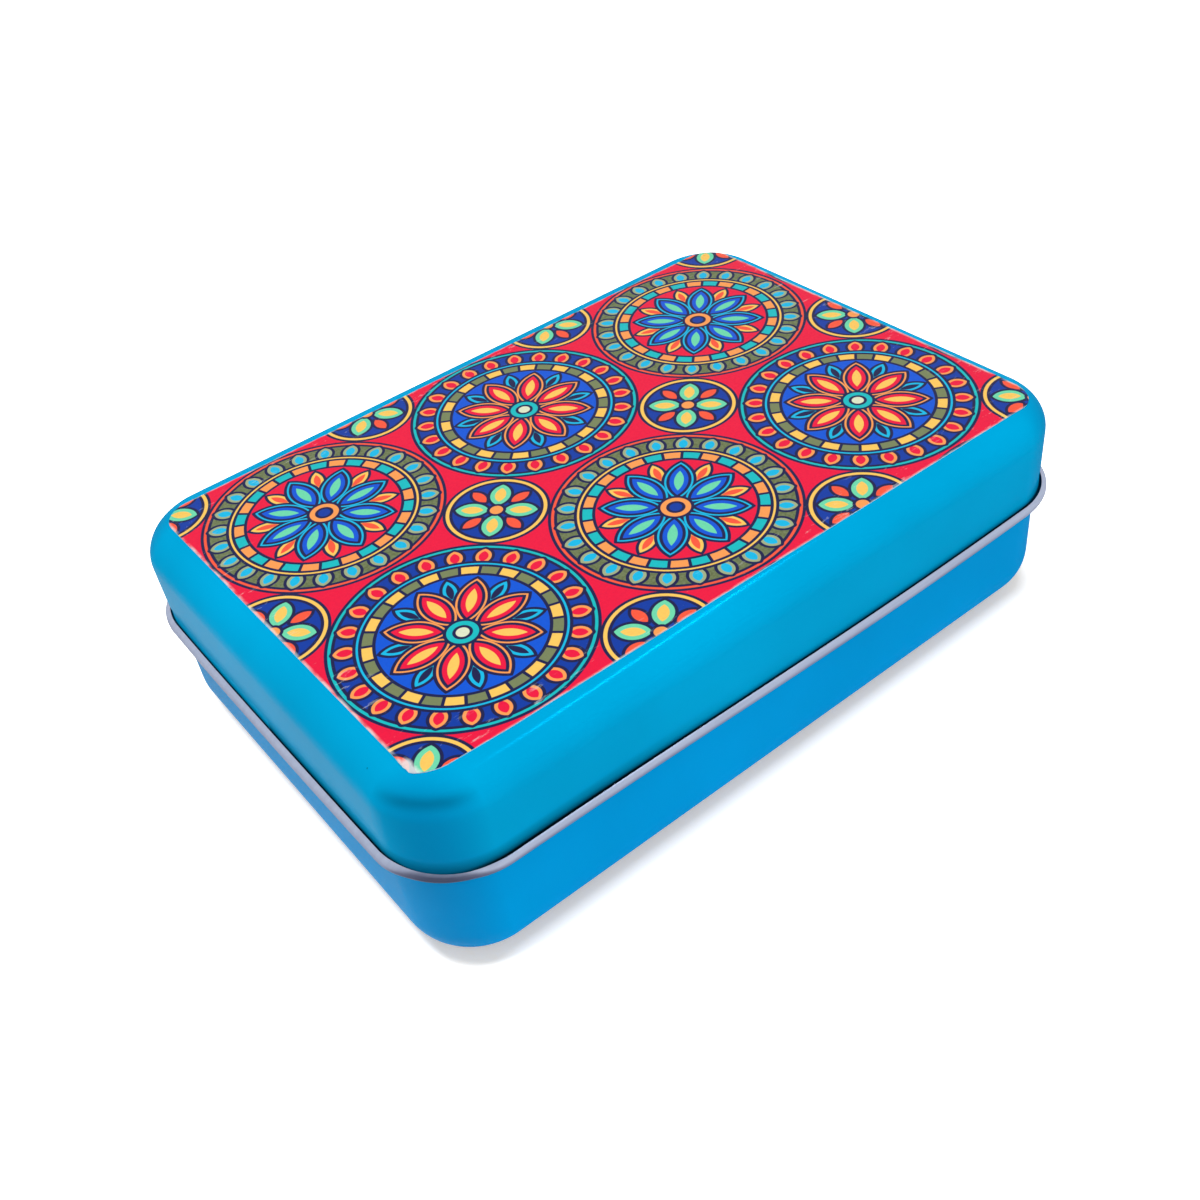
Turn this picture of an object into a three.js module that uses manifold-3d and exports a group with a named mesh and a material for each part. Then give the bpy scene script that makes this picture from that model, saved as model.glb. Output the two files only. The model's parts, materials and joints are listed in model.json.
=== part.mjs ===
// Soap tin: a drawn tinplate pan, a hinged lid with a rolled hem, and a printed sheet on the lid.
// Millimetres, +Z up. The origin is the centre of the underside, +X runs along the length,
// the front faces -Y and the hinge is at the back, +Y.

import * as THREE from 'three';
import { mergeVertices } from 'three/addons/utils/BufferGeometryUtils.js';
import Module from 'manifold-3d';

// Overall sizes, taken over the lid's outer walls
const LID_LENGTH = 110;
const LID_WIDTH = 76;
const HEM_HEIGHT = 18.5; // hem axis above the surface the tin stands on
const LID_DEPTH = 14; // hem axis to the top of the lid

// Sheet and its bends
const SHEET = 0.3;
const CORNER_RADIUS = 10.5; // plan corners, over the lid's outer wall
const LID_EDGE_RADIUS = 4.5;
const BASE_EDGE_RADIUS = 7;
const HEM_RADIUS = 0.7; // outside of the roll along the lid's edge
const HEM_TURN = 285; // degrees that the roll turns through
const RIM_RADIUS = 0.65; // outside of the roll along the base's edge
const RIM_TURN = 270;
const RIM_RISE = 6; // top of the base's rim above the hem axis

// Fit between lid and base, on every side and round the hinge
const FIT_CLEARANCE = 0.3;

// Hinge tongues, lanced out of the base's back wall and folded over the lid's hem
const TONGUE_WIDTH = 12;
const TONGUE_CORNER_GAP = 8; // from the corner's bend to the tongue's outer side
const TONGUE_FLARE = 30; // degrees that the tail leans out; it stops the lid
const TONGUE_TAIL = 1.6;
const LANCE_CUT = 0.4; // width of the cut beside a tongue
const SLOT_SIDE_CLEARANCE = 0.5;
const SLOT_TOP_CLEARANCE = 0.35;

// Printed sheet, as long and as wide as the lid's flat
const LABEL_THICKNESS = 0.2;
const LABEL_CORNER_RADIUS = 4;

// Facets
const CORNER_STEPS = 8;
const EDGE_STEPS = 7;
const ROLL_STEPS = 14;

const LID_TOP = HEM_HEIGHT + LID_DEPTH;
const BASE_OUT = -(SHEET + FIT_CLEARANCE); // base's outer wall, measured out from the lid's
const HEM_OUT = HEM_RADIUS - SHEET; // hem axis, measured out from the lid's outer wall
const PIVOT = new THREE.Vector3(0, LID_WIDTH / 2 + HEM_OUT, HEM_HEIGHT);
const TONGUE_X = LID_LENGTH / 2 - CORNER_RADIUS - TONGUE_CORNER_GAP - TONGUE_WIDTH / 2;
const TONGUE_INNER = HEM_RADIUS + FIT_CLEARANCE;
const TONGUE_OUTER = TONGUE_INNER + SHEET;

const PAINT_LID = { color: 0x00a2d2, roughness: 0.35, metalness: 0.1 };
const PAINT_BASE = { color: 0x008fd2, roughness: 0.35, metalness: 0.1 };
const PRINTED_VINYL = { color: 0xc8503c, roughness: 0.45, metalness: 0 };

const wasm = await Module();
wasm.setup();

// A section is a list of points: x measured out from the lid's outer wall, y the height
function arc(out, height, radius, fromDegrees, toDegrees, steps) {
  const from = THREE.MathUtils.degToRad(fromDegrees);
  const to = THREE.MathUtils.degToRad(toDegrees);
  const points = [];
  for (let step = 0; step <= steps; step += 1) {
    const angle = from + ((to - from) * step) / steps;
    points.push(new THREE.Vector2(out + radius * Math.cos(angle), height + radius * Math.sin(angle)));
  }
  return points;
}

// A rectangle with round corners, anticlockwise from above
function planRing(length, width, radius) {
  const signs = [[1, 1], [-1, 1], [-1, -1], [1, -1]];
  return signs.flatMap(([signX, signY], corner) => arc(
    signX * (length / 2 - radius),
    signY * (width / 2 - radius),
    radius,
    corner * 90,
    corner * 90 + 90,
    CORNER_STEPS,
  ));
}

// A closed sheet-metal shell: the section carried round the box, with its two ends capped
function drawnShell(section) {
  const positions = section.flatMap(({ x: out, y: height }) => planRing(
    LID_LENGTH + 2 * out,
    LID_WIDTH + 2 * out,
    CORNER_RADIUS + out,
  ).flatMap((place) => [place.x, place.y, height]));
  const count = 4 * (CORNER_STEPS + 1);
  const last = (section.length - 1) * count;
  const firstCentre = section.length * count;
  const lastCentre = firstCentre + 1;
  positions.push(0, 0, section[0].y, 0, 0, section[section.length - 1].y);
  const index = [];
  for (let j = 0; j < count; j += 1) {
    const next = (j + 1) % count;
    index.push(firstCentre, j, next, lastCentre, last + next, last + j);
    for (let row = 0; row < last; row += count) {
      const below = row + count;
      index.push(row + j, below + j, below + next, row + j, below + next, row + next);
    }
  }
  const geometry = new THREE.BufferGeometry();
  geometry.setAttribute('position', new THREE.Float32BufferAttribute(positions, 3));
  geometry.setIndex(index);
  return geometry;
}

function toSolid(geometry) {
  const bare = geometry.clone();
  bare.deleteAttribute('normal');
  bare.deleteAttribute('uv');
  const merged = mergeVertices(bare);
  return new wasm.Manifold(new wasm.Mesh({
    numProp: 3,
    vertProperties: new Float32Array(merged.attributes.position.array),
    triVerts: new Uint32Array(merged.index.array),
  }));
}

function toGeometry(solid) {
  const mesh = solid.getMesh();
  const geometry = new THREE.BufferGeometry();
  geometry.setAttribute('position', new THREE.Float32BufferAttribute(mesh.vertProperties, 3));
  geometry.setIndex(Array.from(mesh.triVerts));
  geometry.computeVertexNormals();
  return geometry;
}

function box(lowX, highX, lowY, highY, lowZ, highZ) {
  const geometry = new THREE.BoxGeometry(highX - lowX, highY - lowY, highZ - lowZ);
  geometry.translate((lowX + highX) / 2, (lowY + highY) / 2, (lowZ + highZ) / 2);
  return toSolid(geometry);
}

// Lid: down the outside, round the hem outwards, and back up the inside
function lidSection() {
  const edgeHeight = LID_TOP - LID_EDGE_RADIUS;
  const hemEnd = 180 + HEM_TURN;
  return [
    ...arc(-LID_EDGE_RADIUS, edgeHeight, LID_EDGE_RADIUS, 90, 0, EDGE_STEPS),
    ...arc(HEM_OUT, HEM_HEIGHT, HEM_RADIUS - SHEET, 180, hemEnd, ROLL_STEPS),
    ...arc(HEM_OUT, HEM_HEIGHT, HEM_RADIUS, hemEnd, 180, ROLL_STEPS),
    ...arc(-LID_EDGE_RADIUS, edgeHeight, LID_EDGE_RADIUS - SHEET, 0, 90, EDGE_STEPS),
  ];
}

// Base: up the inside, round the rim, which rolls inwards, and down the outside
function baseSection() {
  const edgeRadius = Math.min(BASE_EDGE_RADIUS, CORNER_RADIUS + BASE_OUT - SHEET);
  const edgeOut = BASE_OUT - edgeRadius;
  const rimOut = BASE_OUT - RIM_RADIUS;
  const rimHeight = HEM_HEIGHT + RIM_RISE - RIM_RADIUS;
  return [
    ...arc(edgeOut, edgeRadius, edgeRadius - SHEET, -90, 0, EDGE_STEPS),
    ...arc(rimOut, rimHeight, RIM_RADIUS - SHEET, 0, RIM_TURN, ROLL_STEPS),
    ...arc(rimOut, rimHeight, RIM_RADIUS, RIM_TURN, 0, ROLL_STEPS),
    ...arc(edgeOut, edgeRadius, edgeRadius, 0, -90, EDGE_STEPS),
  ];
}

// Tongue: up the back wall, over the hem and out along a flared tail
function tongue(centreX) {
  const tailEnd = new THREE.Vector2(
    TONGUE_TAIL * Math.sin(THREE.MathUtils.degToRad(TONGUE_FLARE)),
    -TONGUE_TAIL * Math.cos(THREE.MathUtils.degToRad(TONGUE_FLARE)),
  );
  const root = new THREE.Vector2(0, -(LANCE_CUT + SHEET));
  const inside = arc(0, 0, TONGUE_INNER, 180, TONGUE_FLARE, ROLL_STEPS);
  const outside = arc(0, 0, TONGUE_OUTER, TONGUE_FLARE, 180, ROLL_STEPS);
  const outline = [
    inside[0].clone().add(root),
    ...inside,
    inside[ROLL_STEPS].clone().add(tailEnd),
    outside[0].clone().add(tailEnd),
    ...outside,
    outside[ROLL_STEPS].clone().add(root),
  ];
  const geometry = new THREE.ExtrudeGeometry(new THREE.Shape(outline), {
    depth: TONGUE_WIDTH,
    bevelEnabled: false,
  });
  const outward = new THREE.Vector3(0, 1, 0);
  const upward = new THREE.Vector3(0, 0, 1);
  const sideways = new THREE.Vector3(1, 0, 0);
  geometry.applyMatrix4(new THREE.Matrix4().makeBasis(outward, upward, sideways));
  geometry.translate(centreX - TONGUE_WIDTH / 2, PIVOT.y, PIVOT.z);
  return toSolid(geometry);
}

// Opening that each tongue leaves in the base's back wall, below the rolled rim
function tongueWindow(centreX) {
  const half = TONGUE_WIDTH / 2 + LANCE_CUT;
  const wall = LID_WIDTH / 2 + BASE_OUT;
  const rimUnderside = HEM_HEIGHT + RIM_RISE - 2 * RIM_RADIUS;
  return box(
    centreX - half, centreX + half,
    wall - 2 * SHEET, wall + SHEET,
    HEM_HEIGHT - LANCE_CUT, rimUnderside - SHEET,
  );
}

// Slot in the lid's back skirt that lets a tongue out above the hem
function lidSlot(centreX) {
  const half = TONGUE_WIDTH / 2 + SLOT_SIDE_CLEARANCE;
  const wall = LID_WIDTH / 2;
  const groove = HEM_OUT + HEM_RADIUS * Math.cos(THREE.MathUtils.degToRad(180 + HEM_TURN));
  return box(
    centreX - half, centreX + half,
    wall - 2 * SHEET, wall + groove / 2,
    HEM_HEIGHT, HEM_HEIGHT + TONGUE_OUTER + SLOT_TOP_CLEARANCE,
  );
}

function basePan() {
  let solid = toSolid(drawnShell(baseSection()));
  [-TONGUE_X, TONGUE_X].forEach((centreX) => {
    solid = solid.subtract(tongueWindow(centreX)).add(tongue(centreX));
  });
  return toGeometry(solid);
}

function lidCover() {
  let solid = toSolid(drawnShell(lidSection()));
  [-TONGUE_X, TONGUE_X].forEach((centreX) => {
    solid = solid.subtract(lidSlot(centreX));
  });
  return toGeometry(solid);
}

// Printed sheet that covers the lid's flat, with round corners
function lidLabel() {
  const length = LID_LENGTH - 2 * LID_EDGE_RADIUS;
  const width = LID_WIDTH - 2 * LID_EDGE_RADIUS;
  const outline = planRing(length, width, LABEL_CORNER_RADIUS);
  const geometry = new THREE.ExtrudeGeometry(new THREE.Shape(outline), {
    depth: LABEL_THICKNESS,
    bevelEnabled: false,
  });
  geometry.translate(0, 0, LID_TOP);
  return geometry;
}

function namedMesh(name, geometry, finish) {
  const mesh = new THREE.Mesh(geometry, new THREE.MeshStandardMaterial(finish));
  mesh.name = name;
  return mesh;
}

// The lid group stands at the hinge axis, so turning it about X opens the tin
const lid = new THREE.Group();
lid.position.copy(PIVOT);
[
  namedMesh('lid_cover', lidCover(), PAINT_LID),
  namedMesh('lid_label', lidLabel(), PRINTED_VINYL),
].forEach((mesh) => {
  mesh.position.copy(PIVOT).negate();
  lid.add(mesh);
});

const soapTin = new THREE.Group();
soapTin.add(namedMesh('base_pan', basePan(), PAINT_BASE), lid);

export default soapTin;
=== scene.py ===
# Soap tin in metres: finished shells, hinge tongues and patterned sheet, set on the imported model.

import json
import math

import bmesh
import bpy
from mathutils import Matrix, Vector


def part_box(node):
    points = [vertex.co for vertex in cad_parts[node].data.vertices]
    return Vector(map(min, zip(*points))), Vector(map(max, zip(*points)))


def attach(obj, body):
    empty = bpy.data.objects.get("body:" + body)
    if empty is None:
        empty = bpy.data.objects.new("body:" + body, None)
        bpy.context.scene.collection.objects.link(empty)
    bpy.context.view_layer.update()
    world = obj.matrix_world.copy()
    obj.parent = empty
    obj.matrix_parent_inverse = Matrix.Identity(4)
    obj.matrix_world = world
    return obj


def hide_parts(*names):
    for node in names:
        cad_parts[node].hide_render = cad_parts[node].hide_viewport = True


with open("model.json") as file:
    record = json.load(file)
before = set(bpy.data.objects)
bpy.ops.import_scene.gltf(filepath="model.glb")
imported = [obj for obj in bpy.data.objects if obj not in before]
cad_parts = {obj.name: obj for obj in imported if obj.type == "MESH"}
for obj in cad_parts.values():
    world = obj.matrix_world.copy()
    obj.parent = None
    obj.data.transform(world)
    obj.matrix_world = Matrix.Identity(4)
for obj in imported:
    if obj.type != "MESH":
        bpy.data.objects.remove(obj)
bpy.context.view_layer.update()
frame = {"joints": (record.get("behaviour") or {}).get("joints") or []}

MM = 0.001

# Sheet and its bends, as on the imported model
SHEET = 0.3 * MM
CORNER_RADIUS = 10.5 * MM
LID_EDGE_RADIUS = 4.5 * MM
PAN_EDGE_RADIUS = 7 * MM
HEM_RADIUS = 0.699 * MM
HEM_TURN = 255  # the visible roll stays open towards the wall
HEM_STRETCH = 1.15  # how much taller than wide the visible roll is
RIM_RADIUS = 0.65 * MM
RIM_TURN = 270
FIT = 0.3 * MM

# Hinge tongues and the slots they pass through
TONGUE_WIDTH = 12 * MM
TONGUE_FLARE = 30
TONGUE_TAIL = 1.6 * MM
TONGUE_TIP_RADIUS = 1.1 * MM
TONGUE_SKIN = 0.004 * MM  # how much thinner the tongue is than the wall on each face, so that they weld
TONGUE_CORNER_GAP = 8 * MM
LANCE_CUT = 0.4 * MM
SLOT_SIDE_CLEARANCE = 0.5 * MM
SLOT_TOP_CLEARANCE = 0.35 * MM

# Slight shapes that pressing, rolling and one knock on the near corner leave in the lid's skirt
NECK_DEPTH = 0.1 * MM
NECK_ABOVE_HEM = 2.0 * MM
NECK_SPREAD = 0.7 * MM
HEM_BOW = 0.3 * MM
CORNER_DENT = 0.34 * MM  # at the foot of the lid's rounding
CORNER_DENT_RISE = 2.4 * MM
CORNER_DENT_SPREAD = 0.8 * MM
SIDE_DENT = 0.06  # share of it along the straight sides
CORNER_NECK = 0.22 * MM  # above the hem
CORNER_NECK_RISE = 1.2 * MM
CORNER_NECK_SPREAD = 1.0 * MM
CORNER_PINCH = 0.34  # share of its size that the hem loses
PINCH_FADE = 1.2 * MM
END_TUCK = 0.3 * MM  # of the hem's free edge towards the wall, on the short ends
TUCK_OUT = (0.1 * MM, 0.5 * MM)  # where the free edge starts and is full, out from the wall
TUCK_UP = (0.3 * MM, 0.75 * MM)  # and up from the middle of the hem
SKIRT_WAVE = 0.58 * MM  # how far the foot of the skirt waves out of level along the front
WAVE_LENGTH = 130 * MM
WAVE_SHIFT = 6 * MM
END_SAG = 0.42 * MM  # how much lower it hangs at the left end
SAG_RANGE = (-42 * MM, -53 * MM)  # along the tin, where that starts and is full
SAG_CENTRE = 20 * MM  # across the tin
SAG_SPREAD = 22 * MM

# Room for the lid to swing: the pan's front wall is set in under the skirt, twice as far at the near corner
SET_IN = 0.3 * MM
SET_IN_RANGE = (-0.8 * MM, 1.0 * MM)  # from the middle of the hem

# Patterned sheet
VINYL = 0.12 * MM
VINYL_CORNER_RADIUS = 4 * MM
CORNER_LIFT = 0.07 * MM
CORNER_LIFT_REACH = 7 * MM
NEAR_CORNER_CUT = Vector((-1.4, 1.1)) * MM  # the near corner is cut out of square
NEAR_CUT_REACH = 8 * MM
RIGHT_REACH = 0.7 * MM  # how far the sheet reaches over the lid's rounding at the right end
FRONT_REACH = 0.45 * MM  # and in the middle of the front
FRONT_SKEW = 0.4 * MM  # how much further at the right of the front than in its middle

# Facets
EDGE_STEPS = 16
WALL_STEPS = 14
ROLL_STEPS = 30
PATH_STEPS = 28
TAIL_STEPS = 12
LABEL_INSETS = (0, 0.3, 0.7, 1.2, 2, 3.2, 4.6, 6.4, 9)  # in millimetres
LABEL_BEND_STEPS = 10
LABEL_SIDE_STEPS = 12
LABEL_SMALLEST_BEND = 0.2 * MM
WELD_DISTANCE = 0.0005 * MM
BARE_LIMIT = 0.4  # a face is bare metal where the mean of its points' marks is higher
SHELL_SMOOTH_ANGLE = 40
SHEET_SMOOTH_ANGLE = 30

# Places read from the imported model
sheet_low, sheet_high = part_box("lid_label")
pan_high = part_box("base_pan")[1]
hinge_axis = Vector(frame["joints"][0]["pos_m"])
HALF_LENGTH = sheet_high.x + LID_EDGE_RADIUS
HALF_WIDTH = sheet_high.y + LID_EDGE_RADIUS
LID_TOP = sheet_low.z
RIM_TOP = pan_high.z
HEM_HEIGHT = hinge_axis.z
HEM_OUT = HEM_RADIUS - SHEET
HEM_DROP = HEM_RADIUS * HEM_STRETCH
PAN_OUT = -(SHEET + FIT)
TONGUE_INNER = HEM_RADIUS + FIT
TONGUE_OUTER = TONGUE_INNER + SHEET
TONGUE_X = HALF_LENGTH - CORNER_RADIUS - TONGUE_CORNER_GAP - TONGUE_WIDTH / 2


# Node trees written as expressions


def both_ways(operation):
    def forward(self, other):
        return self.net.math(operation, self, other)

    def reflected(self, other):
        return self.net.math(operation, other, self)

    return forward, reflected


class Wire:
    """A node's output. Arithmetic adds Math nodes, and wire["name"] is another output of its node."""

    def __init__(self, net, node, output=0):
        self.net = net
        self.node = node
        self.output = output

    def __getitem__(self, output):
        return Wire(self.net, self.node, output)

    @property
    def socket(self):
        return self.node.outputs[self.output]

    __add__, __radd__ = both_ways("ADD")
    __sub__, __rsub__ = both_ways("SUBTRACT")
    __mul__, __rmul__ = both_ways("MULTIPLY")
    __truediv__, __rtruediv__ = both_ways("DIVIDE")
    __mod__, __rmod__ = both_ways("FLOORED_MODULO")
    __pow__, __rpow__ = both_ways("POWER")
    __lt__, __gt__ = both_ways("LESS_THAN")

    def __abs__(self):
        return self.net.math("ABSOLUTE", self)

    def __neg__(self):
        return self * -1


class Net:
    """Adds nodes to a node tree and links them."""

    def __init__(self, tree):
        self.tree = tree
        tree.nodes.clear()

    def node(self, kind, settings=None, inputs=None):
        made = self.tree.nodes.new(kind)
        for name, value in (settings or {}).items():
            setattr(made, name, value)
        for name, value in (inputs or {}).items():
            if isinstance(value, Wire):
                self.tree.links.new(value.socket, made.inputs[name])
            else:
                made.inputs[name].default_value = value
        return Wire(self, made)

    def math(self, operation, *values, clamp=False):
        settings = {"operation": operation, "use_clamp": clamp}
        return self.node("ShaderNodeMath", settings, dict(enumerate(values)))

    def vector(self, operation, *values):
        return self.node("ShaderNodeVectorMath", {"operation": operation}, dict(enumerate(values)))

    def mix(self, factor, low, high):
        """A colour between low and high."""
        return self.node("ShaderNodeMix", {"data_type": "RGBA"}, {0: factor, 6: low, 7: high})[2]

    def ramp(self, value, start, stop):
        """0 where value is at start, 1 at stop, and a straight line between."""
        limits = {"Value": value, "From Min": start, "From Max": stop}
        return self.node("ShaderNodeMapRange", None, limits)

    def noise(self, place, scale, detail=2.0, roughness=0.5):
        return self.node(
            "ShaderNodeTexNoise", None,
            {"Vector": place, "Scale": scale, "Detail": detail, "Roughness": roughness},
        )

    def bell(self, value, centre, spread):
        """1 where value is at the centre, falling away on both sides."""
        away = (value - centre) / spread
        return self.math("EXPONENT", -(away * away))

    def bump(self, height, distance, under=None):
        inputs = {"Height": height, "Distance": distance, "Strength": 1.0}
        if under is not None:
            inputs["Normal"] = under
        return self.node("ShaderNodeBump", None, inputs)


def ink(code):
    """A colour from its six hex digits, as linear values."""
    shares = [int(code[at:at + 2], 16) / 255 for at in (0, 2, 4)]
    return tuple(((s + 0.055) / 1.055) ** 2.4 if s > 0.04045 else s / 12.92 for s in shares) + (1.0,)


def surface(name):
    material = bpy.data.materials.new(name)
    material.use_nodes = True
    return material, Net(material.node_tree)


def shade(net, inputs):
    """Joins a Principled shader to the material's output."""
    shader = net.node("ShaderNodeBsdfPrincipled", None, inputs)
    net.node("ShaderNodeOutputMaterial", None, {"Surface": shader})


def corner_turn(net, spot):
    """0 along a straight side, 1 in the middle of a drawn corner; and that for the near corner alone."""
    past_x = net.math("MAXIMUM", abs(spot["X"]) - (HALF_LENGTH - CORNER_RADIUS), 0.0)
    past_y = net.math("MAXIMUM", abs(spot["Y"]) - (HALF_WIDTH - CORNER_RADIUS), 0.0)
    turning = net.ramp(past_x * past_y, 0.1 * CORNER_RADIUS**2, 0.5 * CORNER_RADIUS**2)
    return turning, turning * near_side(spot)


def near_side(spot):
    """1 in the quarter of the tin that holds the near corner, the one that has been knocked."""
    return (spot["X"] < 0.0) * (spot["Y"] < 0.0)


def skirt_lift(net, spot):
    """How far the foot of the skirt is raised: it waves along the front and sags at the left end."""
    front = (HALF_WIDTH - spot["Y"]) / (2 * HALF_WIDTH)
    front = front * front * front
    wave = net.math("SINE", (spot["X"] + WAVE_SHIFT) * (2 * math.pi / WAVE_LENGTH)) * SKIRT_WAVE
    sag = net.ramp(spot["X"], *SAG_RANGE) * net.bell(spot["Y"], SAG_CENTRE, SAG_SPREAD) * END_SAG
    return -(front * front * wave + sag)


# Finishes: a pair of places or heights says where an effect starts and where it is full

DRIFT_SCALE = 28  # of the noise, as for the other scales
RUBBING_SCALE = 240
PEEL_SCALE = 620
PEEL_DEPTH = 0.003 * MM
PRESS_SCALE = 60  # slow waves left by pressing
PRESS_DEPTH = 0.04 * MM
SPECK_SCALE = 170
SPECK_RADIUS = 0.036  # as a share of a cell
SPECK_LIMIT = 0.93  # only cells whose random number is higher hold a speck
SPECK_STRENGTH = 0.5
CREASE_SPREAD = 0.75 * MM  # painted shade in the crease that the dent at the near corner leaves
CREASE_FULL = 0.65  # share of the corner's turn where it is full
CREASE_STRENGTH = 0.52
CURL_HEIGHT = 2 * MM  # painted shade where the skirt curls in above the hem
CURL_RANGE = (-8 * MM, -32 * MM)  # along the front
CURL_STRENGTH = 0.6
GROOVE_SHADE_HEIGHT = 0.62 * MM  # near-black painted shade in the groove, up from the middle of the hem
GROOVE_SHADE_FADE = 0.3 * MM
GROOVE_SHADE_STRENGTH = 0.92
LID_SHEEN = (-54.6 * MM, -54.97 * MM)  # along the tin, on its left end
PAN_SHEEN = (-46 * MM, -53 * MM)
EDGE_LINE_ACROSS = (-30 * MM, -34 * MM)  # bright line on the lid's front rounding
EDGE_LINE_DEPTH = (3.5 * MM, 2 * MM)  # below the top


def enamel(name, colour, shadow_colour, corner_shade_colour, sheen, groove_top=None):
    """Gloss paint with drifting tone, orange peel, rubbing and specks; painted shade at the drawn corners
    and in the near corner's crease, and on the lid above the hem and in its groove.
    """
    material, net = surface(name)
    place = net.node("ShaderNodeTexCoord")["Object"]
    spot = net.node("ShaderNodeSeparateXYZ", None, {0: place})
    turning, knocked = corner_turn(net, spot)
    drift = net.ramp(net.noise(place, DRIFT_SCALE, 3)["Fac"], 0.35, 0.65)
    tone = net.mix(drift, colour, shadow_colour)
    # painted shade: the drawn corners are darker
    tone = net.mix(turning, tone, corner_shade_colour)
    cells = net.node("ShaderNodeTexVoronoi", None, {"Vector": place, "Scale": SPECK_SCALE})
    chosen = net.node("ShaderNodeSeparateColor", None, {0: cells["Color"]})["Red"] > SPECK_LIMIT
    speck = (cells["Distance"] < SPECK_RADIUS) * chosen
    tone = net.mix(speck * SPECK_STRENGTH, tone, ink("04303f"))
    if groove_top is not None:
        dent_height = LID_TOP - LID_EDGE_RADIUS + CORNER_DENT_RISE
        # painted shade along the near corner's crease
        crease_shade = net.ramp(knocked, 0.0, CREASE_FULL) * net.bell(spot["Z"], dent_height, CREASE_SPREAD)
        tone = net.mix(crease_shade * CREASE_STRENGTH, tone, ink("005678"))
        height = spot["Z"] - skirt_lift(net, spot)
        near_front = net.ramp(spot["X"], *CURL_RANGE) * (spot["Y"] < 0.0)
        curled = net.math("MAXIMUM", turning, near_front)
        # painted shade where the skirt curls in above the hem, at the corners and along the near front
        shadow = curled * net.ramp(height, groove_top + CURL_HEIGHT, groove_top)
        tone = net.mix(shadow * CURL_STRENGTH, tone, ink("00405a"))
        # painted shade: the groove above the hem is darkened nearly to black, less at the corners
        grime_and_shade = net.ramp(height, groove_top, groove_top - GROOVE_SHADE_FADE) * (1 - turning)
        tone = net.mix(grime_and_shade * GROOVE_SHADE_STRENGTH, tone, ink("020a10"))
    left_end = net.ramp(spot["X"], *sheen)
    edge_line = net.ramp(spot["Y"], *EDGE_LINE_ACROSS)
    edge_line = edge_line * net.ramp(LID_TOP - spot["Z"], *EDGE_LINE_DEPTH)
    rubbing = net.ramp(net.noise(place, RUBBING_SCALE, 4, 0.65)["Fac"], 0.5, 0.75)
    peel = net.bump(net.noise(place, PEEL_SCALE, 2)["Fac"], PEEL_DEPTH)
    waves = net.bump(net.noise(place, PRESS_SCALE, 1)["Fac"], PRESS_DEPTH, peel)
    shade(net, {
        "Base Color": tone,
        "Roughness": 0.11 + 0.05 * rubbing + 0.03 * drift,
        "Metallic": 0.04 * edge_line,
        "Normal": waves,
        "Specular IOR Level": 0.0,
        "Coat Weight": (0.07 + 0.28 * left_end) * (1 - edge_line),
        "Coat IOR": 1.2,
        "Coat Roughness": 0.14,
    })
    return material


ROLL_MARKS = (60.0, 1600.0, 1600.0)  # scale of the noise along each axis; the marks run along the tin
ROLL_MARK_DEPTH = 0.004 * MM
BLOOM_SCALE = 70
BLOOM_STRENGTH = 0.35
LILAC_RANGE = (2.4 * MM, 1.2 * MM)  # heights above the middle of the hem
UNDERSIDE_SHADE_RANGE = (0.3 * MM, -0.3 * MM)
UNDERSIDE_SHADE_RISE = 0.3 * MM  # how much higher it starts at the left end
UNDERSIDE_SHADE_RISE_RANGE = (-50 * MM, -54 * MM)  # along the tin
NEAR_HEM_SHADE_HEIGHT = 0.25 * MM  # of the painted shade on the lower hem at the near corner
NEAR_HEM_SHADE_STRENGTH = 0.85


def tinplate(name, hem=None):
    """Bare rolled tinplate: roll marks and soft blooms; lilac on a hem, with painted shade on its lower
    side and at the near corner.
    """
    material, net = surface(name)
    place = net.node("ShaderNodeTexCoord")["Object"]
    marks = net.noise(net.vector("MULTIPLY", place, ROLL_MARKS), 1.0, 3, 0.6)["Fac"]
    bloom = net.ramp(net.noise(place, BLOOM_SCALE, 3)["Fac"], 0.3, 0.7)
    tone = net.mix(marks, ink("bcc1c8"), ink("d8dbdf"))
    tone = net.mix(bloom * BLOOM_STRENGTH, tone, ink("a9acb3"))
    if hem is not None:
        spot = net.node("ShaderNodeSeparateXYZ", None, {0: place})
        height = spot["Z"] - hem - skirt_lift(net, spot)
        lilac = net.mix(marks, ink("9fa8c2"), ink("bcc5da"))
        tone = net.mix(net.ramp(height, *LILAC_RANGE), tone, lilac)
        # painted shade on the hem's lower side, starting higher at the left end
        rise = net.ramp(spot["X"], *UNDERSIDE_SHADE_RISE_RANGE) * UNDERSIDE_SHADE_RISE
        underside_shade = net.ramp(height, UNDERSIDE_SHADE_RANGE[0] + rise, UNDERSIDE_SHADE_RANGE[1])
        tone = net.mix(underside_shade * (0.6 + 0.3 * bloom), tone, ink("5a5678"))
        # painted shade on the lower hem at the near corner
        near_hem_shade = corner_turn(net, spot)[1] * net.ramp(height, NEAR_HEM_SHADE_HEIGHT, 0.0)
        tone = net.mix(near_hem_shade * NEAR_HEM_SHADE_STRENGTH, tone, ink("343a52"))
    shade(net, {
        "Base Color": tone,
        "Metallic": 0.8,
        "Roughness": 0.36 + 0.1 * bloom + 0.06 * marks,
        "Normal": net.bump(marks, ROLL_MARK_DEPTH),
    })
    return material


EDGE_GRIME_SCALE = 160


def white_edge():
    """Cut edge of the vinyl: white film with a little grime."""
    material, net = surface("vinyl_edge")
    place = net.node("ShaderNodeTexCoord")["Object"]
    grime_and_shade = net.ramp(net.noise(place, EDGE_GRIME_SCALE, 3)["Fac"], 0.45, 0.75)
    tone = net.mix(grime_and_shade, ink("e9eef0"), ink("9fb6bd"))
    shade(net, {"Base Color": tone, "Roughness": 0.45 + 0.1 * grime_and_shade})
    return material


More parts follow.
